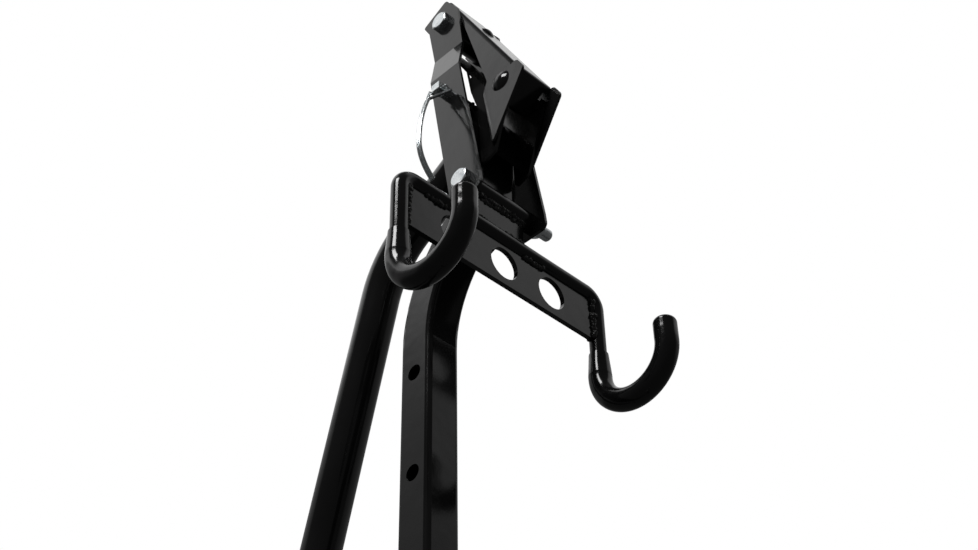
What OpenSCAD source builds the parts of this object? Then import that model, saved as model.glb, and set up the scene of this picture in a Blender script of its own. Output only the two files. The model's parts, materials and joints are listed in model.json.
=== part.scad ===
// Tubular stand with a folding pinned head and two dipped J-hooks.
// Millimetres. Z is up, Y points from the hooks to the brace, X runs along the crossbar.
// The origin is on the floor, under the middle of the base.

/* [Frame] */
// Height of the crossbar's lower edge above the floor
bar_z = 1000; // [700:10:1200]
// Distance from the middle of the base back to each foot's centre line
foot_y = 282; // [270:1:294]
// Overall length of each foot
foot_len = 460; // [320:10:700]
// Outer side of the square tubes
mast_side = 38.1; // [36:0.1:40]
// Wall of the square and round tubes
tube_wall = 2.5; // [1.5:0.5:4]
// Outer diameter of the brace
brace_d = 38.1; // [32:0.1:42]
// Diameter of the cross holes in the mast
mast_hole_d = 16; // [8:0.5:20]
// Spacing of the cross holes in the mast
mast_hole_pitch = 106; // [60:1:140]

/* [Crossbar and hooks] */
// Half of the distance between the two hooks' stems
stem_x = 125.6; // [110:0.1:150]
// Height of the crossbar plate
bar_h = 46; // [44:0.5:52]
// Thickness of the crossbar plate
bar_t = 5; // [4:0.5:6]
// Diameter of the lightening holes
bar_hole_d = 34; // [20:1:36]
// Spacing of the lightening holes
bar_hole_pitch = 61.8; // [45:0.1:64]
// Diameter of the bent rod
rod_d = 16; // [12:0.5:17]
// Radius of the hooks, at the rod's centre line
hook_r = 40; // [30:1:45]
// Outer diameter of the dipped sleeves
sleeve_d = 22.4; // [19:0.2:26]

/* [Folding head] */
// Half of the width over the side plates below their joggle
plate_half_w = 44; // [42:0.5:48]
// How far each side plate steps inward
joggle = 12.5; // [12:0.5:13]
// Thickness of the plates of the head
plate_t = 3; // [2:0.5:3]
// Outer width of the head channel
channel_w = 55; // [53:0.5:56]
// Diameter of the pivot bolt and the top bolt
bolt_d = 12; // [10:0.5:12]
// Diameter of the lock pin
pin_d = 12; // [8:0.1:13]

/* [Hidden] */

$fn = 64;
steel_black = "#161616";
vinyl_black = "#0b0b0b";
zinc = "#c9cdcf";
plastic_black = "#202020";
eps = 0.01;

// The crossbar's datum is the middle of its lower front edge.
bar_y = -180;
pad_h = 6;
rail_top = pad_h + mast_side;
corner_r = 5;
half_side = mast_side / 2;
fit_gap = 0.3;

// Mast, measured from the crossbar's datum
mast_y = 98.5;
mast_bend_z = -20;
mast_bend_r = 150;
mast_bend_angle = 57;
mast_holes_z = [for (i = [0:2]) -55 - i * mast_hole_pitch];

// Head post, which stands behind the crossbar
post_y = 27.5;
post_top_front = 216;
post_top_back = 232;
post_low_front = 82;
post_low_back = 62;
post_back = post_y + half_side;
post_front = post_y - half_side;

// Brace: its two straight runs meet in a corner that a bend rounds off
brace_corner = [160, 123.5];
brace_lean = 15.6;
brace_rise = 30;
brace_bend_r = 100;
brace_turn = 90 - brace_rise - brace_lean;
brace_tangent = brace_bend_r * tan(brace_turn / 2);

// Bent rod
rod_r = rod_d / 2;
rod_y = bar_t / 2;
rod_z = bar_h + rod_r;
rod_corner_r = 16;
hook_z = -40;
hook_tip_z = -22;
sleeve_start_z = -14;
sleeve_thin = 1.8;
sleeve_tip = 5;
sleeve_edge_r = 5;

// Pivot, lock pin and top bolt
pivot = [7, 103];
lock = [26.5, 231];
top = [48, 367];
pivot_tube_d = 19;
neck_w = 60;
neck_t = 5;
neck_top = 99;
lock_tube_d = 15;
bolt_r = bolt_d / 2;
bolt_play = 0.05;
pin_play = 0.08;
hex_af = 1.58 * bolt_d;
head_h = 0.62 * bolt_d;
nut_h = 0.85 * bolt_d;
washer_h = 2;
washer_d = 2 * bolt_d;

// Side plates
plate_in = plate_half_w - plate_t;
joggle_low = 270;
joggle_high = 316;
thrust_h = 1.5;

// Head channel: web_start is the upper end of the web's outer face
web_start = [28, 375];
web_end = [-46, 238];
web_len = norm(web_end - web_start);
web_tilt = -atan2(web_start[0] - web_end[0], web_start[1] - web_end[1]);
channel_in = channel_w / 2 - plate_t;
channel_top = 30;
bend_r = 4.5;
relief = 1.5;
lip_depth = 37;
rivet = [-28.5, 222.5];
rivet_r = 4;
back_depth = 38.3;
back_len = 132;
bracket_half_w = channel_in - 0.5;
lip_half_w = bracket_half_w - plate_t - 2.3;
web_bolt_at = 30;

// Lock pin and its bail
block = [10, 10, 8.5];
block_gap = 8.5;
bail_wire_r = 1.5;
bail_half_gap = 1.6;
bail_z = 143;
bail_x = -82.7;
upper_r = 190;
upper_sweep = 19;
lower_r = 50;
lower_sweep = 49;
trunnion_x = -56;

// Moves children to the crossbar's datum.
module at_bar() {
    translate([0, bar_y, bar_z]) children();
}

// Turns a drawing in (y, z) into a solid between two x positions.
module side_solid(x_low, x_high) {
    translate([x_low, 0, 0]) rotate([90, 0, 90]) linear_extrude(x_high - x_low) children();
}

// A bar bent about an axis along X through p, with straight runs before and after the bend.
module bent_bar(p, bend_r, from, to, before, after) {
    translate([0, p[0], p[1]]) rotate([90, 0, 90]) {
        rotate([0, 0, from]) {
            rotate_extrude(angle = to - from) translate([bend_r, 0]) children();
            translate([bend_r, 0, 0]) rotate([90, 0, 0]) linear_extrude(before) children();
        }
        if (after > 0) rotate([0, 0, to]) translate([bend_r, 0, 0]) rotate([-90, 0, 0])
            linear_extrude(after) children();
    }
}

// A rod along X between two x positions, through (y, z).
module x_rod(x_low, x_high, p, r) {
    translate([x_low, p[0], p[1]]) rotate([0, 90, 0]) cylinder(h = x_high - x_low, r = r);
}

// A rod between two points.
module rod_between(a, b, r) {
    d = b - a;
    translate(a) rotate([0, acos(d[2] / norm(d)), atan2(d[1], d[0])]) cylinder(h = norm(d), r = r);
}

// A hexagonal prism along X, with a bevel turned on its outer face.
module hex_along_x(x, h, p, af, direction) {
    translate([x, p[0], p[1]]) rotate([0, 90 * direction, 0]) intersection() {
        cylinder(h = h, d = af / cos(30), $fn = 6);
        union() {
            cylinder(h = h - 1.2, r = af);
            translate([0, 0, h - 1.2 - eps]) cylinder(h = 1.2 + eps, r1 = af / 2 / cos(30) + 0.2, r2 = af / 2 - 0.6);
        }
    }
}

module washer_x(x, h, p, outer_r, inner_r) {
    difference() {
        x_rod(x, x + h, p, outer_r);
        x_rod(x - 1, x + h + 1, p, inner_r);
    }
}

// A dome head on the -X or +X side of a plate.
module dome_along_x(x, p, r, h, direction) {
    ball_r = (r * r + h * h) / (2 * h);
    translate([x, p[0], p[1]]) rotate([0, 90 * direction, 0]) intersection() {
        translate([0, 0, h - ball_r]) sphere(r = ball_r);
        cylinder(h = h + 1, r = r + 1);
    }
}

module rounded_square(side, r) {
    flat = side / 2 - r;
    square([side, 2 * flat], center = true);
    square([2 * flat, side], center = true);
    for (x = [-flat, flat], y = [-flat, flat]) translate([x, y]) circle(r = r);
}

// Points of an outline whose corners [y, z, r] are rounded off with radius r.
function unit(v) = v / norm(v);
function corner_arc(a, b, c) =
    let (
        u = unit([a[0] - b[0], a[1] - b[1]]),
        w = unit([c[0] - b[0], c[1] - b[1]]),
        half = acos(u * w) / 2,
        r = b[2],
        centre = [b[0], b[1]] + unit(u + w) * r / sin(half),
        start = [b[0], b[1]] + u * r / tan(half) - centre,
        end = [b[0], b[1]] + w * r / tan(half) - centre,
        sweep = 180 - 2 * half,
        turn = start[0] * end[1] - start[1] * end[0] > 0 ? 1 : -1
    )
    r == 0 ? [[b[0], b[1]]] :
    [for (i = [0:5]) let (t = turn * sweep * i / 5)
        centre + [start[0] * cos(t) - start[1] * sin(t), start[0] * sin(t) + start[1] * cos(t)]];
function rounded_outline(p) =
    let (n = len(p)) [for (i = [0:n - 1]) each corner_arc(p[(i + n - 1) % n], p[i], p[(i + 1) % n])];

// ---------------------------------------------------------------- frame

module mast_bar(side, r, from_z) {
    bent_bar([mast_y - mast_bend_r, mast_bend_z], mast_bend_r, 0, mast_bend_angle, mast_bend_z - from_z, 0)
        rounded_square(side, r);
}

module mast() {
    foot_z = rail_top - bar_z;
    color(steel_black) at_bar() difference() {
        mast_bar(mast_side, corner_r, foot_z);
        mast_bar(mast_side - 2 * tube_wall, corner_r - tube_wall, foot_z - 1);
        translate([0, post_back - 60, post_top_back / 2]) cube([80, 120, 300], center = true);
        for (z = mast_holes_z) x_rod(-30, 30, [mast_y, z], mast_hole_d / 2);
        x_rod(-30, 30, [mast_y, foot_z + gusset_bolts[2][1]], foot_bolt_r + bolt_play);
    }
}

module tube_ring(d, wall) {
    difference() {
        circle(d = d);
        circle(d = d - 2 * wall);
    }
}

// The upper run is a hair thicker than the bend and reaches into it, so that the two join cleanly.
module brace_tube() {
    up = [-sin(brace_lean), cos(brace_lean)];
    centre = brace_corner - up * brace_tangent + [-up[1], up[0]] * brace_bend_r;
    top_angle = brace_lean + brace_turn;
    color(steel_black) at_bar() difference() {
        union() {
            bent_bar(centre, brace_bend_r, brace_lean, top_angle, 1200, 0) tube_ring(brace_d, tube_wall);
            translate([0, centre[0], centre[1]]) rotate([90, 0, 90]) rotate([0, 0, top_angle])
                translate([brace_bend_r, -0.5, 0]) rotate([-90, 0, 0])
                    linear_extrude(120) tube_ring(brace_d + 0.04, tube_wall + 0.04);
        }
        translate([0, post_back - 60, 180]) cube([80, 120, 200], center = true);
        translate([0, 400, rail_top - bar_z - 200]) cube([80, 400, 400], center = true);
    }
}

// Both ends of the post are cut at a slant: the lower one clear above the crossbar, the upper one
// under the lock tube, which lies in a saddle.
module head_post() {
    front = post_front - 5;
    back = post_back + 5;
    color(steel_black) at_bar() difference() {
        translate([0, post_y, 0]) linear_extrude(post_top_back) rounded_square(mast_side, corner_r);
        translate([0, post_y, -1]) linear_extrude(post_top_back + 2)
            rounded_square(mast_side - 2 * tube_wall, corner_r - tube_wall);
        side_solid(-30, 30) polygon([[front, -5], [back, -5], [back, post_low_back], [front, post_low_front]]);
        side_solid(-30, 30) polygon([
            [front, post_top_front], [post_front, post_top_front], [post_back, post_top_back],
            [back, post_top_back], [back, 300], [front, 300]
        ]);
        x_rod(-30, 30, pivot, pivot_tube_d / 2);
        x_rod(-30, 30, lock, lock_tube_d / 2);
    }
}

// A plug pressed into the post, a little below its upper end.
module post_plug() {
    color(plastic_black) at_bar() translate([0, post_y, post_top_front - 14]) linear_extrude(8)
        rounded_square(mast_side - 2 * tube_wall - 0.1, corner_r - tube_wall);
}

// Flared plate on the post's front face, above the pivot tube.
module front_plate() {
    half = [[19, 114], [19, 136], [21, 146], [25, 155], [32, 165], [38, 171], [38, 188]];
    outline = concat(half, [for (i = [len(half) - 1:-1:0]) [-half[i][0], half[i][1]]]);
    color(steel_black) at_bar() translate([0, post_front, 0]) rotate([90, 0, 0]) linear_extrude(2.5)
        polygon(outline);
}

// Plate under the pivot tube, against the post's front face.
module neck_plate() {
    color(steel_black) at_bar() difference() {
        side_solid(-neck_w / 2, neck_w / 2) polygon([
            [post_front - neck_t, rod_z], [post_front, rod_z], [post_front, neck_top],
            [post_front - neck_t, neck_top]
        ]);
        x_rod(-neck_w, neck_w, [rod_y, rod_z], rod_r);
        x_rod(-neck_w, neck_w, pivot, pivot_tube_d / 2);
    }
}

module pivot_tube() {
    half_len = plate_in - fit_gap - thrust_h;
    color(steel_black) at_bar() washer_x(-half_len, 2 * half_len, pivot, pivot_tube_d / 2, bolt_r + bolt_play);
}

module lock_tube() {
    half_len = plate_in - fit_gap;
    color(steel_black) at_bar() washer_x(-half_len, 2 * half_len, lock, lock_tube_d / 2, pin_d / 2 + pin_play);
}

// ---------------------------------------------------------------- crossbar and hooks

module crossbar_plate() {
    half_len = stem_x - rod_r;
    color(steel_black) at_bar() difference() {
        translate([-half_len, 0, 0]) cube([2 * half_len, bar_t, bar_h]);
        for (i = [-1:1]) translate([i * bar_hole_pitch, -1, 24.3]) rotate([-90, 0, 0])
            cylinder(h = bar_t + 2, d = bar_hole_d);
        x_rod(-half_len - 1, half_len + 1, [rod_y, rod_z], rod_r);
        for (side = [-1, 1]) {
            translate([side * stem_x, rod_y, -1]) cylinder(h = bar_h + 2, r = rod_r);
            rod_corner(side, rod_r);
        }
    }
}

// The bend between a stem and the rod's top run.
module rod_corner(side, r) {
    x = side * (stem_x - rod_corner_r);
    translate([x, rod_y, rod_z - rod_corner_r]) rotate([90, 0, 0]) rotate([0, 0, side > 0 ? 0 : 90])
        rotate_extrude(angle = 90) translate([rod_corner_r, 0]) circle(r = r);
}

// A hook with its stem; the tip's straight run and the stem's go up from the bend.
module hook(side, r, tip_run, stem_run) {
    translate([side * stem_x, 0, 0])
        bent_bar([rod_y - hook_r, hook_z], hook_r, -180, 0, tip_run, stem_run) circle(r = r);
}

module hook_rod() {
    color(steel_black) at_bar() {
        x_rod(rod_corner_r - stem_x, stem_x - rod_corner_r, [rod_y, rod_z], rod_r);
        for (side = [-1, 1]) {
            rod_corner(side, rod_r);
            hook(side, rod_r, hook_tip_z - hook_z, rod_z - rod_corner_r - hook_z);
        }
    }
}

// The dip is thinner where it ends on the stem.
module hook_sleeve(side) {
    r = sleeve_d / 2;
    tip_run = hook_tip_z - hook_z;
    stem_run = sleeve_start_z - hook_z;
    x = side * stem_x;
    color(vinyl_black) at_bar() difference() {
        union() {
            hook(side, r, tip_run, 2);
            translate([x, rod_y, hook_z + 2]) cylinder(h = stem_run - 2, r1 = r, r2 = r - sleeve_thin);
            translate([x, rod_y - 2 * hook_r, hook_tip_z]) rotate_extrude() sleeve_tip_shape(r);
        }
        hook(side, rod_r + 0.02, tip_run, stem_run + 1);
    }
}

// Half of the section through a sleeve's closed, rounded tip.
module sleeve_tip_shape(r) {
    square([r - sleeve_edge_r, sleeve_tip]);
    intersection() {
        translate([r - sleeve_edge_r, sleeve_tip - sleeve_edge_r]) circle(r = sleeve_edge_r);
        square([r, sleeve_tip]);
    }
}

module hook_sleeve_left() hook_sleeve(-1);
module hook_sleeve_right() hook_sleeve(1);

// ---------------------------------------------------------------- base

foot_bolt_r = 4;
gusset_t = 4;
foot_x = foot_len / 2;
pad_x = foot_x - 30;
mast_foot_y = bar_y + mast_y;
// Gusset bolts, [y, z] from the mast's centre line and the rail's top
gusset_bolts = [[-42, -19], [42, -19], [0, 62]];

module foot_tube(y) {
    color(steel_black) translate([-foot_x, y, pad_h + half_side]) rotate([0, 90, 0]) difference() {
        linear_extrude(foot_len) rounded_square(mast_side, corner_r);
        translate([0, 0, -1]) linear_extrude(foot_len + 2)
            rounded_square(mast_side - 2 * tube_wall, corner_r - tube_wall);
    }
}

module front_foot() foot_tube(-foot_y);
module rear_foot() foot_tube(foot_y);

module base_rail() {
    half_len = foot_y - half_side;
    color(steel_black) difference() {
        translate([0, half_len, pad_h + half_side]) rotate([90, 0, 0]) difference() {
            linear_extrude(2 * half_len) rounded_square(mast_side, corner_r);
            translate([0, 0, -1]) linear_extrude(2 * half_len + 2)
                rounded_square(mast_side - 2 * tube_wall, corner_r - tube_wall);
        }
        for (i = [0, 1])
            x_rod(-30, 30, [mast_foot_y + gusset_bolts[i][0], rail_top + gusset_bolts[i][1]],
                foot_bolt_r + bolt_play);
    }
}

module end_caps() {
    wall_gap = 0.05;
    color(plastic_black) for (y = [-foot_y, foot_y], side = [-1, 1])
        translate([side * foot_x, y, pad_h + half_side]) rotate([0, 90 * side, 0]) {
            linear_extrude(2) rounded_square(mast_side, corner_r);
            translate([0, 0, 2 - eps]) linear_extrude(1.5) rounded_square(mast_side - 3, corner_r - 1.5);
            translate([0, 0, -14]) linear_extrude(14)
                rounded_square(mast_side - 2 * tube_wall - 2 * wall_gap, corner_r - tube_wall);
        }
}

module foot_pads() {
    color(plastic_black) for (y = [-foot_y, foot_y], x = [-pad_x, pad_x]) translate([x, y, 0]) {
        cylinder(h = 1.5, r1 = 14.5, r2 = 16);
        translate([0, 0, 1.5]) cylinder(h = pad_h - 1.5, r = 16);
    }
}

module foot_gusset(x_low) {
    outline = [[-60, -32, 5], [60, -32, 5], [60, -4, 5], [half_side - 2, 50, 8], [half_side - 2, 78, 5],
        [2 - half_side, 78, 5], [2 - half_side, 50, 8], [-60, -4, 5]];
    color(steel_black) translate([0, mast_foot_y, rail_top]) difference() {
        side_solid(x_low, x_low + gusset_t) polygon(rounded_outline(outline));
        for (p = gusset_bolts) x_rod(-40, 40, p, foot_bolt_r + bolt_play);
    }
}

module foot_gusset_left() foot_gusset(-half_side - gusset_t);
module foot_gusset_right() foot_gusset(half_side);

module foot_bolts() {
    grip = half_side + gusset_t;
    color(zinc) translate([0, mast_foot_y, rail_top]) for (p = gusset_bolts) {
        x_rod(-grip - eps, grip + 12, p, foot_bolt_r);
        dome_along_x(-grip, p, 9, 4.5, -1);
    }
}

module foot_nuts() {
    grip = half_side + gusset_t;
    color(zinc) translate([0, mast_foot_y, rail_top]) for (p = gusset_bolts) difference() {
        union() {
            x_rod(grip, grip + 1.6, p, 8);
            hex_along_x(grip + 1.6 - eps, 6.5, p, 13, 1);
        }
        x_rod(grip - 1, grip + 20, p, foot_bolt_r + bolt_play);
    }
}

// ---------------------------------------------------------------- folding head

// Outline of a side plate in (y, z), seen along X.
plate_outline = [
    [-16, 84, 7], [24, 84, 12], [27, 101, 0], [42, 196, 0], [53, 267, 0], [60.5, 314, 0], [69.5, 367, 0],
    [78, 383, 3], [44, 400, 4], [27, 375.5, 4], [20.3, 318, 0], [13.4, 272, 0], [1.8, 201, 0], [-14, 103, 0]
];

module side_plate(side) {
    x_out = plate_half_w;
    x_in = plate_in;
    step = [
        [x_in, 60], [x_out, 60], [x_out, joggle_low], [x_out - joggle, joggle_high], [x_out - joggle, 420],
        [x_in - joggle, 420], [x_in - joggle, joggle_high - 1], [x_in, joggle_low - 1]
    ];
    color(steel_black) at_bar() difference() {
        intersection() {
            side_solid(-60, 60) polygon(rounded_outline(plate_outline));
            translate([0, 100, 0]) rotate([90, 0, 0]) linear_extrude(140)
                polygon([for (p = step) [side * p[0], p[1]]]);
        }
        x_rod(-60, 60, pivot, bolt_r + bolt_play);
        x_rod(-60, 60, lock, pin_d / 2 + fit_gap);
        x_rod(-60, 60, top, bolt_r + bolt_play);
    }
}

module side_plate_left() side_plate(-1);
module side_plate_right() side_plate(1);

// Head channel, drawn in its web's own frame: depth behind the web's outer face, then height along
// the web from web_start.
function to_web(p, r) =
    let (v = p - web_start)
    [v * [cos(web_tilt), sin(web_tilt)], v * [-sin(web_tilt), cos(web_tilt)], r];

flange_outline = [
    [bend_r, channel_top, 0], [38, channel_top, 6], [38, 4, 10], [24, -14, 10], [6.5, -22, 4],
    to_web([-10, 236], 4), to_web([-4.3, 221], 6), to_web([-9, 192.5], 0), to_web([-14, 147], 1.5),
    [-3.3, -web_len - 21, 8], [-3.3, -web_len - relief, 7], [bend_r, -web_len - relief, 0]
];

module along_web() {
    translate([0, web_start[0], web_start[1]]) rotate([web_tilt, 0, 0]) children();
}

// Section through the web and its two bends.
module web_section() {
    flat = channel_w / 2 - bend_r;
    translate([-flat, 0]) square([2 * flat, plate_t]);
    for (side = [-1, 1]) translate([side * flat, bend_r]) intersection() {
        difference() {
            circle(r = bend_r);
            circle(r = bend_r - plate_t);
        }
        translate([side > 0 ? 0 : -bend_r, -bend_r]) square(bend_r);
    }
}

module head_channel() {
    // The web's lower end is folded back between the flanges, and narrows behind the fold.
    lip = [
        [0, 6 - web_len, 0], [0, -web_len - 5, 5], [lip_depth, -web_len - 5, 0], [lip_depth, -web_len - 2, 0],
        [plate_t, -web_len - 2, 2], [plate_t, 6 - web_len, 0]
    ];
    color(steel_black) at_bar() difference() {
        along_web() {
            translate([0, 0, -web_len]) linear_extrude(web_len + channel_top) web_section();
            side_solid(-channel_w / 2, -channel_in) polygon(rounded_outline(flange_outline));
            side_solid(channel_in, channel_w / 2) polygon(rounded_outline(flange_outline));
            intersection() {
                side_solid(-channel_in, channel_in) polygon(rounded_outline(lip));
                union() {
                    translate([-30, -1, -web_len - 10]) cube([60, 9, 30]);
                    translate([-lip_half_w, 0, -web_len - 10]) cube([2 * lip_half_w, 60, 30]);
                }
            }
        }
        x_rod(-60, 60, top, bolt_r + bolt_play);
        for (side = [-1, 1]) translate([side * 50, 0, 0]) x_rod(-30, 30, rivet, rivet_r + bolt_play);
        along_web() translate([0, 10, -web_bolt_at]) rotate([90, 0, 0])
            cylinder(h = 20, r = 4 + bolt_play);
    }
}

bracket_outline = [
    [25, 288, 3], [-4.5, 234, 8], [-36.5, 230, 5], [-38, 213, 5], [-15, 140, 4], [3.4, 134, 4],
    [5, 183, 0], [7, 213, 0], [16, 243, 0], [22, 278, 0]
];

// Two flanges, a strip between them in front of the post, and a tongue that closes the channel's back.
module inner_bracket() {
    outline = rounded_outline(bracket_outline);
    low = bracket_half_w - plate_t;
    color(steel_black) at_bar() difference() {
        union() {
            side_solid(-bracket_half_w, -low) polygon(outline);
            side_solid(low, bracket_half_w) polygon(outline);
            side_solid(-low, low) polygon([[-3, 194], [0, 193.5], [-9, 144.5], [-12, 145]]);
            along_web() translate([0.5 - bracket_half_w, back_depth, -140])
                cube([2 * bracket_half_w - 1, plate_t, back_len]);
        }
        x_rod(-60, 60, rivet, rivet_r + bolt_play);
    }
}

// Rivets that join the channel's flanges to the inner bracket's.
module bracket_rivets() {
    x_out = channel_w / 2;
    x_in = bracket_half_w - plate_t;
    color(steel_black) at_bar() for (side = [-1, 1]) {
        x_low = side > 0 ? x_in : -x_out;
        x_rod(x_low - eps, x_low + x_out - x_in + eps, rivet, rivet_r);
        dome_along_x(side * x_out, rivet, 11.5, 4.5, side);
        x_rod(side > 0 ? x_in - 2 : -x_in, side > 0 ? x_in : 2 - x_in, rivet, 6.5);
    }
}

module bolt_head_and_shank(p, head_x, end_x) {
    hex_along_x(head_x, head_h, p, hex_af, -1);
    x_rod(head_x - eps, end_x - 1.5, p, bolt_r);
    translate([end_x - 1.5 - eps, p[0], p[1]]) rotate([0, 90, 0]) cylinder(h = 1.5, r1 = bolt_r, r2 = bolt_r - 1.3);
}

module nut_x(x, p) {
    difference() {
        hex_along_x(x, nut_h, p, hex_af, 1);
        x_rod(x - 1, x + nut_h + 1, p, bolt_r + bolt_play);
    }
}

module pivot_bolt() {
    color(zinc) at_bar() bolt_head_and_shank(pivot, -plate_half_w, plate_half_w + washer_h + nut_h + 14);
}

module pivot_washers() {
    color(zinc) at_bar() washer_x(plate_half_w, washer_h, pivot, washer_d / 2, bolt_r + bolt_play);
}

module pivot_nut() {
    color(zinc) at_bar() nut_x(plate_half_w + washer_h, pivot);
}

module thrust_washers() {
    color(plastic_black) at_bar() for (x = [-plate_in, plate_in - thrust_h])
        washer_x(x, thrust_h, pivot, pivot_tube_d / 2 + fit_gap, bolt_r + bolt_play);
}

top_half_w = plate_half_w - joggle;

module top_bolt() {
    color(zinc) at_bar() bolt_head_and_shank(top, -top_half_w, top_half_w + washer_h + nut_h + 5);
}

// A plain washer under the nut, and spacers between the plates and the channel.
module top_washers() {
    gap = top_half_w - plate_t - channel_w / 2;
    color(zinc) at_bar() {
        washer_x(top_half_w, washer_h, top, washer_d / 2, bolt_r + bolt_play);
        for (x = [channel_w / 2, -channel_w / 2 - gap]) washer_x(x, gap, top, washer_d / 2, bolt_r + bolt_play);
    }
}

module top_nut() {
    color(zinc) at_bar() nut_x(top_half_w + washer_h, top);
}

module top_spacer() {
    color(steel_black) at_bar() washer_x(-channel_in, 2 * channel_in, top, 15, bolt_r + bolt_play);
}

// Carriage bolt through the web, with its dome outside.
module web_bolt() {
    r = 8;
    h = 3.5;
    ball_r = (r * r + h * h) / (2 * h);
    color(steel_black) at_bar() along_web() translate([0, 0, -web_bolt_at]) rotate([90, 0, 0]) {
        intersection() {
            translate([0, 0, h - ball_r]) sphere(r = ball_r);
            cylinder(h = h + 1, r = r + 1);
        }
        translate([0, 0, -14]) cylinder(h = 14 + eps, r = 4);
    }
}

module web_nut() {
    color(zinc) at_bar() along_web() translate([0, plate_t, -web_bolt_at]) rotate([-90, 0, 0]) difference() {
        cylinder(h = 6.5, d = 13 / cos(30), $fn = 6);
        translate([0, 0, -1]) cylinder(h = 9, r = 4 + bolt_play);
    }
}

// ---------------------------------------------------------------- lock pin

pin_end = plate_half_w + 14;
block_x = -plate_half_w - block_gap - block[0] / 2;

module lock_pin() {
    color(zinc) at_bar() difference() {
        union() {
            translate([block_x, lock[0], lock[1]]) cube(block, center = true);
            x_rod(block_x + block[0] / 2 - eps, pin_end - 5, lock, pin_d / 2);
            translate([pin_end - 5 - eps, lock[0], lock[1]]) rotate([0, 90, 0])
                cylinder(h = 5, r1 = pin_d / 2, r2 = pin_d / 2 - 3);
        }
        translate([trunnion_x, lock[0], lock[1]]) rotate([90, 0, 0])
            cylinder(h = block[1] + 2, r = bail_wire_r + fit_gap, center = true);
        translate([pin_end - 9, lock[0], lock[1] + pin_d / 2 - 1.5]) sphere(r = 1.55);
    }
}

// The ball is drawn pressed in, as it is while the pin slides.
module detent_ball() {
    color(zinc) at_bar() translate([pin_end - 9, lock[0], lock[1] + pin_d / 2 - 1.45]) sphere(r = 1.5);
}

// Where a strand of the bail leaves its upper curve, and where its lower curve ends.
function upper_start(offset) =
    [bail_x + upper_r - upper_r * cos(upper_sweep), lock[0] + offset, bail_z + upper_r * sin(upper_sweep)];
function lower_end(offset) =
    [bail_x + lower_r - lower_r * cos(lower_sweep), lock[0] + offset, bail_z - lower_r * sin(lower_sweep)];

module bail_knuckle(p) {
    translate(p) sphere(r = bail_wire_r + 0.1);
}

// A run of straight wire through the points p.
module wire(p) {
    for (i = [0:len(p) - 2]) {
        rod_between(p[i], p[i + 1], bail_wire_r);
        bail_knuckle(p[i + 1]);
    }
}

module pin_bail() {
    $fn = 24;
    hinge_out = 8;
    near = [
        [trunnion_x, lock[0] - 3, lock[1]], [trunnion_x, lock[0] - hinge_out, lock[1]],
        [trunnion_x + 7, lock[0] - hinge_out, lock[1] - 1.5],
        [trunnion_x - 2.5, lock[0] - hinge_out + 0.5, lock[1] - 12], upper_start(-bail_half_gap)
    ];
    far = [
        [trunnion_x, lock[0] + 3, lock[1]], [trunnion_x, lock[0] + hinge_out, lock[1]],
        [trunnion_x - 6.5, lock[0] + hinge_out, lock[1] - 3], upper_start(bail_half_gap)
    ];
    color(zinc) at_bar() {
        wire(near);
        wire(far);
        for (side = [-1, 1]) {
            y = lock[0] + side * bail_half_gap;
            translate([bail_x + upper_r, y, bail_z]) rotate([90, 0, 0]) rotate([0, 0, 180 - upper_sweep])
                rotate_extrude(angle = upper_sweep) translate([upper_r, 0]) circle(r = bail_wire_r);
            bail_knuckle([bail_x, y, bail_z]);
            translate([bail_x + lower_r, y, bail_z]) rotate([90, 0, 0]) rotate([0, 0, 180])
                rotate_extrude(angle = lower_sweep) translate([lower_r, 0]) circle(r = bail_wire_r);
            bail_knuckle(lower_end(side * bail_half_gap));
        }
        rod_between(lower_end(-bail_half_gap), lower_end(bail_half_gap), bail_wire_r);
    }
}

mast();
brace_tube();
head_post();
post_plug();
front_plate();
neck_plate();
pivot_tube();
lock_tube();
crossbar_plate();
hook_rod();
hook_sleeve_left();
hook_sleeve_right();
front_foot();
rear_foot();
base_rail();
end_caps();
foot_pads();
foot_gusset_left();
foot_gusset_right();
foot_bolts();
foot_nuts();
side_plate_left();
side_plate_right();
head_channel();
inner_bracket();
bracket_rivets();
pivot_bolt();
pivot_washers();
pivot_nut();
thrust_washers();
top_bolt();
top_washers();
top_nut();
top_spacer();
web_bolt();
web_nut();
lock_pin();
detent_ball();
pin_bail();
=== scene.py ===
"""Looks for the tubular stand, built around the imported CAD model."""

import json
import math
import random

import bmesh
import bpy
from mathutils import Matrix, Vector, noise


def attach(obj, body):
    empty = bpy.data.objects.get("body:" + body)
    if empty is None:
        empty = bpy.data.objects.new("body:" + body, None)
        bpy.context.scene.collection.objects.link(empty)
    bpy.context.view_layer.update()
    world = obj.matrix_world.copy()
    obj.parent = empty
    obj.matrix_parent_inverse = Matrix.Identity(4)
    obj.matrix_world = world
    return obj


random.seed(11)
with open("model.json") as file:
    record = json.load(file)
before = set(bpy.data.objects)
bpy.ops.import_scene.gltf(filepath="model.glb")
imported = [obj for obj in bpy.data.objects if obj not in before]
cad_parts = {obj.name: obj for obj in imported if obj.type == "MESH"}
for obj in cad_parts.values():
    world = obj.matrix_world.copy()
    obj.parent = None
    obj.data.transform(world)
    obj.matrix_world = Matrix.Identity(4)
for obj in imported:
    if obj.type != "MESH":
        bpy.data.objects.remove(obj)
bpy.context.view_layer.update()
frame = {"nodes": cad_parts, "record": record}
nodes = frame["nodes"]

# ---------------------------------------------------------------- datum and camera

# The crossbar's datum, as in the CAD source: X centre, front face of the plate, its lower edge.
BAR = Vector((0, -0.180, 1.000))

# The camera's heading from +X, its tilt above level and its roll, in degrees.
CAMERA_HEADING = 44.52
CAMERA_TILT = 40.0
CAMERA_ROLL = -1.30
# Its place in millimetres from the crossbar's datum, and its lens on a 36 mm sensor.
CAMERA_PLACE = (-766.86, -734.00, -879.83)
CAMERA_LENS = 56.77


def at(x, y, z):
    """A point given in millimetres from the crossbar's datum, in the row frame in metres."""
    return BAR + Vector((x, y, z)) / 1000


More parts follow.
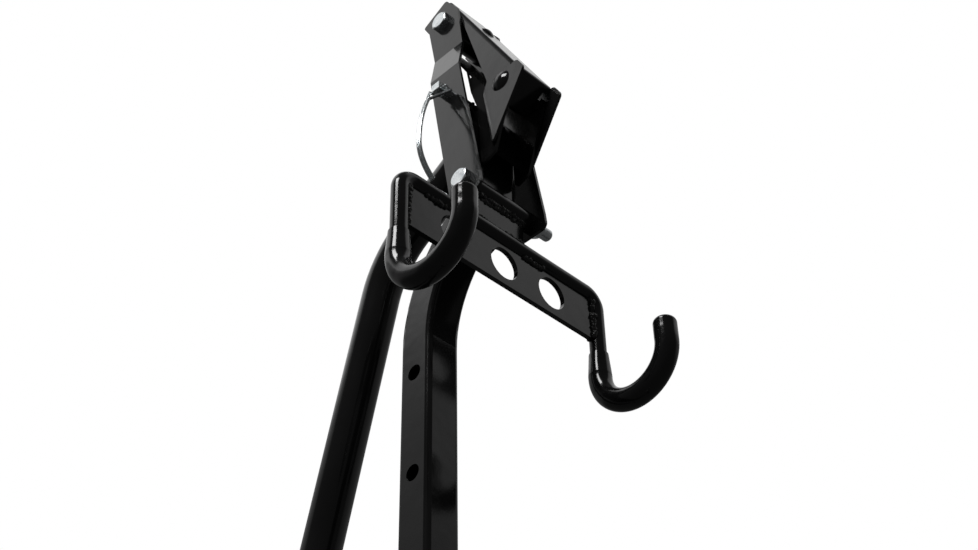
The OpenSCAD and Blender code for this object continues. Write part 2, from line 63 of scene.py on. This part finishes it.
def make_camera():
    turn = math.radians(CAMERA_HEADING)
    rise = math.radians(CAMERA_TILT)
    roll = math.radians(CAMERA_ROLL)
    level = Vector((math.cos(turn), math.sin(turn), 0))
    forward = level * math.cos(rise) + Vector((0, 0, math.sin(rise)))
    plain_up = -level * math.sin(rise) + Vector((0, 0, math.cos(rise)))
    plain_right = forward.cross(plain_up)
    right = plain_right * math.cos(roll) + plain_up * math.sin(roll)
    up = -plain_right * math.sin(roll) + plain_up * math.cos(roll)
    data = bpy.data.cameras.new("camera")
    data.sensor_width = 36
    data.lens = CAMERA_LENS
    data.clip_start = 0.01
    camera = bpy.data.objects.new("camera", data)
    bpy.context.scene.collection.objects.link(camera)
    place = Matrix((right, up, -forward)).transposed().to_4x4()
    place.translation = at(*CAMERA_PLACE)
    camera.matrix_world = place
    bpy.context.scene.camera = camera


make_camera()
bpy.context.scene.view_settings.view_transform = "Standard"

# ---------------------------------------------------------------- materials


class Paint:
    """A material's node tree, built one node at a time. Lengths are in metres, so scales are per metre."""

    def __init__(self, name):
        self.material = bpy.data.materials.new(name)
        self.material.use_nodes = True
        self.tree = self.material.node_tree
        self.shader = self.tree.nodes["Principled BSDF"]
        self.point = self.add("ShaderNodeTexCoord").outputs["Object"]

    def add(self, kind, **values):
        n = self.tree.nodes.new(kind)
        for key, value in values.items():
            setattr(n, key, value)
        return n

    def feed(self, n, socket, value):
        """Links a socket's value in, or sets a plain number or colour."""
        if isinstance(value, bpy.types.NodeSocket):
            self.tree.links.new(value, n.inputs[socket])
        else:
            n.inputs[socket].default_value = value

    def noise(self, scale, detail, rough=0.5):
        n = self.add("ShaderNodeTexNoise")
        self.feed(n, "Vector", self.point)
        self.feed(n, "Scale", scale)
        self.feed(n, "Detail", detail)
        self.feed(n, "Roughness", rough)
        return n.outputs["Fac"]

    def cells(self, scale):
        n = self.add("ShaderNodeTexVoronoi", feature="F1")
        self.feed(n, "Vector", self.point)
        self.feed(n, "Scale", scale)
        return n.outputs["Distance"]

    def span(self, value, low, high, to_low=0.0, to_high=1.0):
        """Takes a value's range low..high to to_low..to_high, and holds it there beyond."""
        n = self.add("ShaderNodeMapRange", clamp=True)
        self.feed(n, "Value", value)
        for key, v in zip(("From Min", "From Max", "To Min", "To Max"), (low, high, to_low, to_high)):
            self.feed(n, key, v)
        return n.outputs["Result"]

    def mix(self, factor, a, b):
        """Mixes two colours; sockets 6 and 7 are the colour ones, and output 2 is their result."""
        n = self.add("ShaderNodeMix", data_type="RGBA")
        self.feed(n, "Factor", factor)
        for socket, value in ((6, a), (7, b)):
            self.feed(n, socket, value if isinstance(value, bpy.types.NodeSocket) else (*value, 1))
        return n.outputs[2]

    def math(self, operation, a, b):
        n = self.add("ShaderNodeMath", operation=operation)
        self.feed(n, 0, a)
        self.feed(n, 1, b)
        return n.outputs[0]

    def bump(self, height, strength, distance, before=None):
        """A bump on top of the one before it, if any."""
        n = self.add("ShaderNodeBump")
        self.feed(n, "Height", height)
        self.feed(n, "Strength", strength)
        self.feed(n, "Distance", distance)
        if before is not None:
            self.feed(n, "Normal", before)
        return n.outputs["Normal"]

    def set(self, **values):
        """Sets the shader's sockets by name, with _ for a space, and gives the finished material."""
        for key, value in values.items():
            self.feed(self.shader, key.replace("_", " "), value)
        return self.material


def powder_coat():
    """Gloss black coat: orange peel about a millimetre across, slow waves, and patches of pale dust."""
    p = Paint("powder_coat")
    peel = p.noise(850, 2, 0.45)
    broad = p.noise(14, 3, 0.55)
    specks = p.span(p.cells(520), 0.0, 0.16, 1.0, 0.0)
    patch = p.span(p.noise(60, 4, 0.6), 0.56, 0.70)
    dust = p.math("MULTIPLY", specks, patch)
    colour = p.mix(p.span(broad, 0.3, 0.7), (0.0085, 0.0085, 0.0086), (0.0125, 0.0125, 0.0126))
    colour = p.mix(p.math("MULTIPLY", dust, 0.5), colour, (0.06, 0.06, 0.058))
    rough = p.span(broad, 0.25, 0.75, 0.09, 0.16)
    rough = p.math("ADD", rough, p.math("MULTIPLY", dust, 0.2))
    normal = p.bump(broad, 0.12, 0.004)
    normal = p.bump(peel, 0.045, 0.0004, normal)
    return p.set(Base_Color=colour, Roughness=rough, Normal=normal)


def weld_coat():
    """The coat over weld metal: lumpy, painted greyer than the plates and lighter on its lumps as a
    painted sheen, and flecked with small pale painted highlights (glints).
    """
    p = Paint("weld_coat")
    lumps = p.noise(260, 4, 0.6)
    drops = p.span(p.cells(330), 0.0, 0.35, 1.0, 0.0)
    # Painted highlights: small pale glint spots mixed into the base colour, where cells meet a noise
    # patch.
    painted_glint_cells = p.span(p.cells(420), 0.05, 0.22, 1.0, 0.0)
    painted_glint = p.math("MULTIPLY", painted_glint_cells, p.span(p.noise(170, 3), 0.52, 0.62))
    # Painted sheen: the base colour is lighter than the plates' coat, and lighter still where the lumps
    # stand high.
    colour = p.mix(p.span(lumps, 0.35, 0.7), (0.014, 0.014, 0.014), (0.035, 0.035, 0.034))
    colour = p.mix(painted_glint, colour, (0.55, 0.55, 0.53))
    normal = p.bump(lumps, 0.5, 0.0016)
    normal = p.bump(drops, 0.35, 0.0010, normal)
    return p.set(Base_Color=colour, Roughness=p.span(lumps, 0.3, 0.7, 0.05, 0.18), Normal=normal)


def vinyl_dip():
    """Dipped vinyl: a smooth glossy skin over slow sags."""
    p = Paint("vinyl_dip")
    sag = p.noise(38, 2, 0.5)
    skin = p.noise(420, 3, 0.5)
    colour = p.mix(p.span(sag, 0.3, 0.7), (0.0070, 0.0070, 0.0072), (0.0100, 0.0100, 0.0102))
    normal = p.bump(sag, 0.30, 0.003)
    normal = p.bump(skin, 0.012, 0.0004, normal)
    return p.set(Base_Color=colour, Roughness=p.span(skin, 0.25, 0.75, 0.09, 0.15), Normal=normal)


def zinc_plate():
    """Bright zinc: fine grain, and faint clouds of brighter and duller metal."""
    p = Paint("zinc_plate")
    grain = p.noise(900, 3, 0.6)
    cloud = p.noise(120, 3, 0.6)
    colour = p.mix(p.span(cloud, 0.3, 0.7), (0.72, 0.76, 0.78), (0.92, 0.95, 0.96))
    normal = p.bump(grain, 0.18, 0.0003)
    normal = p.bump(cloud, 0.15, 0.001, normal)
    rough = p.span(grain, 0.3, 0.7, 0.14, 0.30)
    return p.set(Base_Color=colour, Metallic=1.0, Roughness=rough, Normal=normal)


def black_plastic():
    """Moulded plastic: half matt, with a fine grain."""
    p = Paint("black_plastic")
    grain = p.noise(1500, 2, 0.6)
    broad = p.noise(30, 3, 0.6)
    colour = p.mix(broad, (0.008, 0.008, 0.008), (0.016, 0.016, 0.016))
    rough = p.span(broad, 0.3, 0.7, 0.42, 0.58)
    return p.set(Base_Color=colour, Roughness=rough, Normal=p.bump(grain, 0.25, 0.0004))


def rubber_pad():
    """Matt rubber, dusty in patches."""
    p = Paint("rubber_pad")
    grain = p.noise(900, 4, 0.7)
    dust = p.span(p.noise(45, 4, 0.7), 0.45, 0.75, 0.0, 0.6)
    colour = p.mix(dust, (0.010, 0.010, 0.010), (0.045, 0.043, 0.040))
    rough = p.span(grain, 0.3, 0.7, 0.65, 0.85)
    return p.set(Base_Color=colour, Roughness=rough, Normal=p.bump(grain, 0.4, 0.0006))


PAINTS = {
    "powder_coat": powder_coat(),
    "vinyl_dip": vinyl_dip(),
    "zinc_plate": zinc_plate(),
    "black_plastic": black_plastic(),
    "rubber_pad": rubber_pad(),
}
WELD = weld_coat()
SLOT_OF = {s["node"]: s["material_slot"] for s in frame["record"]["subparts"]}

# How far a CAD node's sharp edges are broken, in metres, and the least angle that counts as sharp.
EDGE_WIDTH = 0.0005
EDGE_ANGLE = 35


def paint_cad(name):
    """Gives a CAD node its material, and breaks its sharp edges as a real plate's or tube's are."""
    o = nodes[name]
    o.data.materials.clear()
    o.data.materials.append(PAINTS[SLOT_OF[name]])
    m = o.modifiers.new("edge", "BEVEL")
    m.width = EDGE_WIDTH
    m.segments = 2
    m.limit_method = "ANGLE"
    m.angle_limit = math.radians(EDGE_ANGLE)
    m.harden_normals = True


for node_name in nodes:
    paint_cad(node_name)

# ---------------------------------------------------------------- pieces the CAD leaves out

# From the CAD source, in millimetres: the axes of three cross bolts and pins, as Y and Z from the
# datum, the long bolts' radius, and the way back from the datum to the middle of the base.
PIVOT = (7, 103)
LOCK = (26.5, 231)
TOP_BOLT = (48, 367)
BOLT_R = 6.0
TO_MIDDLE = 180

# A weld bead is a row of lumps. Their step is in metres for each millimetre of the bead's radius;
# their size and shift are shares of that radius, and a dent is a share of the lump's reach.
BEAD_STEP = 0.0006
LUMP_SIZE = (0.70, 1.15)
LUMP_SHIFT = 0.22
LUMP_DENT = 0.25
DENTS_PER_METRE = 700


def add_piece(name, bm, material, body):
    """Puts a finished bmesh in the scene as a smooth piece that moves with a CAD body."""
    mesh = bpy.data.meshes.new(name)
    bm.to_mesh(mesh)
    bm.free()
    for face in mesh.polygons:
        face.use_smooth = True
    mesh.materials.append(material)
    o = bpy.data.objects.new(name, mesh)
    bpy.context.scene.collection.objects.link(o)
    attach(o, body)


def along(path, step):
    """Points about a step apart along a path."""
    points = []
    for a, b in zip(path, path[1:]):
        count = max(1, round((b - a).length / step))
        points += [a.lerp(b, i / count) for i in range(count)]
    return points + [path[-1]]


def add_lump(bm, centre, radius):
    """One dented ball of weld metal, near a centre in metres, for a bead of this radius in millimetres."""
    size = radius / 1000 * random.uniform(*LUMP_SIZE)
    shift = Vector([random.uniform(-LUMP_SHIFT, LUMP_SHIFT) * radius / 1000 for _ in range(3)])
    place = Matrix.Translation(centre + shift)
    made = bmesh.ops.create_icosphere(bm, subdivisions=2, radius=size, matrix=place)
    for v in made["verts"]:
        v.co += (v.co - centre) * LUMP_DENT * noise.noise(v.co * DENTS_PER_METRE)


def bead(name, paths, radius):
    """Weld beads along paths given in millimetres, as ripples of overlapping lumps, on the frame."""
    bm = bmesh.new()
    for path in paths:
        for centre in along([at(*q) for q in path], radius * BEAD_STEP):
            add_lump(bm, centre, radius)
    add_piece(name, bm, WELD, "frame")


def arc(centre, radius, start, end, x):
    """Points of an arc about an axis along X; angles from +Y towards +Z."""
    steps = 14
    return [
        (x, centre[0] + radius * math.cos(t), centre[1] + radius * math.sin(t))
        for t in (math.radians(start + (end - start) * i / steps) for i in range(steps + 1))
    ]


def upright(x, y, low, high):
    """A straight path up."""
    return [(x, y, low), (x, y, high)]


def crossways(y, z, left, right):
    """A straight path along X."""
    return [(left, y, z), (right, y, z)]


def mirrored(paths):
    """The paths, and then the same on the other side."""
    return paths + [[(-x, y, z) for x, y, z in path] for path in paths]


def stem_welds():
    """Where the crossbar plate meets the rod's two stems, in front and behind."""
    stem_side, front, back = 117.9, -0.4, 5.4
    bead("stem_welds", mirrored([upright(stem_side, y, 3, 43) for y in (front, back)]), 3.3)


def rod_welds():
    """Short stitches under the rod's top run, two in front of the plate and two behind."""
    front, back, bar_top = -0.2, 5.2, 46.2
    paths = [crossways(front, bar_top, *ends) for ends in ((-96, -74), (26, 50))]
    paths += [crossways(back, bar_top, *ends) for ends in ((-50, -28), (72, 96))]
    bead("rod_welds", paths, 2.9)


def neck_welds():
    """Two rows over the rod, two under the pivot tube, and one on each side of the post."""
    root, face = 2.9, 9.3
    paths = [
        crossways(root, 62.0, -29, 29),
        [(-27, 4.0, 66.5), (-4, 4.2, 65.5), (28, 4.0, 67.0)],
        crossways(root, 93.0, -29, 29),
        [(-24, 4.2, 89.5), (6, 4.0, 90.5), (27, 4.2, 89.0)],
        upright(19.6, face, 83, 98),
        upright(-19.6, face, 83, 98),
    ]
    bead("neck_welds", paths, 2.8)


def post_welds():
    """Round the two cross tubes at the post's sides, and where the post's back meets the mast."""
    side, corner, back = 19.4, 19.3, 47.0
    paths = mirrored([
        arc(PIVOT, 9.8, -60, 80, side),
        arc(LOCK, 7.8, 180, 360, side),
        upright(corner, back, 69, 116),
    ])
    paths += [crossways(47.2, 118, -17, 17), crossways(47.4, 66.5, -17, 17)]
    bead("post_welds", paths, 2.1)


def brace_weld():
    """The oval where the slanted brace meets the post's back."""
    half_w, half_h, back, middle = 19.2, 22.2, 47.0, 189
    steps = 48
    turns = [math.tau * i / steps for i in range(steps + 1)]
    ring = [(half_w * math.cos(t), back, middle + half_h * math.sin(t)) for t in turns]
    bead("brace_weld", [ring], 2.2)


def foot_welds():
    """Where the centre rail meets the inner side of each foot."""
    reach = 282 - 19.05
    side, low, high = 19, -990, -958
    paths = []
    for y in (TO_MIDDLE - reach, TO_MIDDLE + reach):
        paths += [upright(-side, y, low, high), upright(side, y, low, high), crossways(y, -956, -15, 15)]
    bead("foot_welds", paths, 2.2)


def thread(name, start, length, axis, radius, body):
    """A screw thread along X from start, about an axis given as Y and Z, as a helical ridge."""
    pitch, ridge = 1.5, 0.5
    around, turn_steps = 36, 6
    steps = int(length / pitch * turn_steps)
    bm = bmesh.new()
    rings = []
    for i in range(steps + 1):
        x = i * pitch / turn_steps
        fade = min(1.0, x / pitch, (length - x) / pitch + 0.05)
        ring = []
        for k in range(around):
            t = math.tau * k / around
            phase = (x / pitch + k / around) % 1.0
            r = radius - ridge / 2 + fade * ridge * (1 - abs(2 * phase - 1))
            ring.append(bm.verts.new(at(start + x, axis[0] + r * math.cos(t), axis[1] + r * math.sin(t))))
        rings.append(ring)
    for a, b in zip(rings, rings[1:]):
        for k in range(around):
            bm.faces.new((a[k], a[(k + 1) % around], b[(k + 1) % around], b[k]))
    add_piece(name, bm, PAINTS["zinc_plate"], body)


stem_welds()
rod_welds()
neck_welds()
post_welds()
brace_weld()
foot_welds()
thread("pivot_thread", 56.4, 12.2, PIVOT, BOLT_R, "head")
thread("top_thread", 43.9, 3.2, TOP_BOLT, BOLT_R, "head")

# ---------------------------------------------------------------- world, floor, light

# Fixed directions of the studio, as X and Y: towards its bright far side, and along its wall.
FAR_SIDE = (0.713, 0.701)
ALONG_WALL = (0.707, -0.707)

# The floor's half width in metres, and its own glow, which keeps it pale under the uneven light.
FLOOR_HALF = 60.0
FLOOR_GLOW = 0.55


def make_world():
    """A studio seen as plain white. Its light is a bright band high on the far side over dimmer
    walls, and is dark below, straight overhead and on the near side."""
    world = bpy.data.worlds.new("studio")
    bpy.context.scene.world = world
    world.use_nodes = True
    tree = world.node_tree
    tree.nodes.clear()
    link = tree.links.new

    def node(kind, **values):
        n = tree.nodes.new(kind)
        for key, value in values.items():
            setattr(n, key, value)
        return n

    def ramp(value, low, high, to_low, to_high):
        """A smooth step from to_low to to_high as the value goes from low to high."""
        n = node("ShaderNodeMapRange", interpolation_type="SMOOTHSTEP")
        link(value, n.inputs["Value"])
        for key, v in zip(("From Min", "From Max", "To Min", "To Max"), (low, high, to_low, to_high)):
            if isinstance(v, bpy.types.NodeSocket):
                link(v, n.inputs[key])
            else:
                n.inputs[key].default_value = v
        return n.outputs["Result"]

    def across(x, y):
        dot = node("ShaderNodeVectorMath", operation="DOT_PRODUCT")
        link(direction, dot.inputs[0])
        dot.inputs[1].default_value = (x, y, 0)
        return dot.outputs["Value"]

    direction = node("ShaderNodeTexCoord").outputs["Generated"]
    split = node("ShaderNodeSeparateXYZ")
    link(direction, split.inputs[0])
    height = split.outputs["Z"]
    side = across(*ALONG_WALL)
    far = across(*FAR_SIDE)

    wall = ramp(side, -0.4, 0.5, 0.42, 0.50)
    wall = ramp(height, 0.40, 0.62, 0.20, wall)
    band = ramp(side, -0.35, 0.55, 1.14, 0.64)
    upper = ramp(height, 0.59, 0.65, wall, band)
    upper = ramp(height, 0.93, 0.985, upper, 0.10)
    over_floor = ramp(height, -0.10, 0.30, 0.07, upper)
    light = ramp(far, -0.19, 0.01, 0.07, over_floor)

    seen = node("ShaderNodeBackground")
    seen.inputs["Color"].default_value = (1, 1, 1, 1)
    seen.inputs["Strength"].default_value = 1.0
    lit = node("ShaderNodeBackground")
    link(light, lit.inputs["Strength"])
    path = node("ShaderNodeLightPath")
    choose = node("ShaderNodeMixShader")
    link(path.outputs["Is Camera Ray"], choose.inputs[0])
    link(lit.outputs[0], choose.inputs[1])
    link(seen.outputs[0], choose.inputs[2])
    link(choose.outputs[0], node("ShaderNodeOutputWorld").inputs["Surface"])


def make_floor():
    """A plain pale floor, left out of reflections and of bounced light."""
    mesh = bpy.data.meshes.new("floor")
    corners = [(-1, -1), (1, -1), (1, 1), (-1, 1)]
    mesh.from_pydata([(x * FLOOR_HALF, y * FLOOR_HALF, 0) for x, y in corners], [], [(0, 1, 2, 3)])
    floor = bpy.data.objects.new("floor", mesh)
    bpy.context.scene.collection.objects.link(floor)
    p = Paint("floor_paint")
    tone = p.mix(p.noise(6, 3, 0.5), (0.80, 0.80, 0.80), (0.84, 0.84, 0.84))
    mesh.materials.append(
        p.set(Base_Color=tone, Roughness=0.7, Emission_Color=tone, Emission_Strength=FLOOR_GLOW)
    )
    floor.visible_glossy = False
    floor.visible_diffuse = False


def make_key_light():
    """A soft square lamp above the stand's front left, aimed near the head's pivot."""
    where, aim = Vector((-1.6, -0.4, 3.0)), Vector((0, -0.1, 1.1))
    data = bpy.data.lights.new("key", "AREA")
    data.shape = "SQUARE"
    data.size = 0.9
    data.energy = 30
    o = bpy.data.objects.new("key", data)
    bpy.context.scene.collection.objects.link(o)
    o.location = where
    o.rotation_mode = "QUATERNION"
    o.rotation_quaternion = (aim - where).to_track_quat("-Z", "Y")


make_world()
make_floor()
make_key_light()
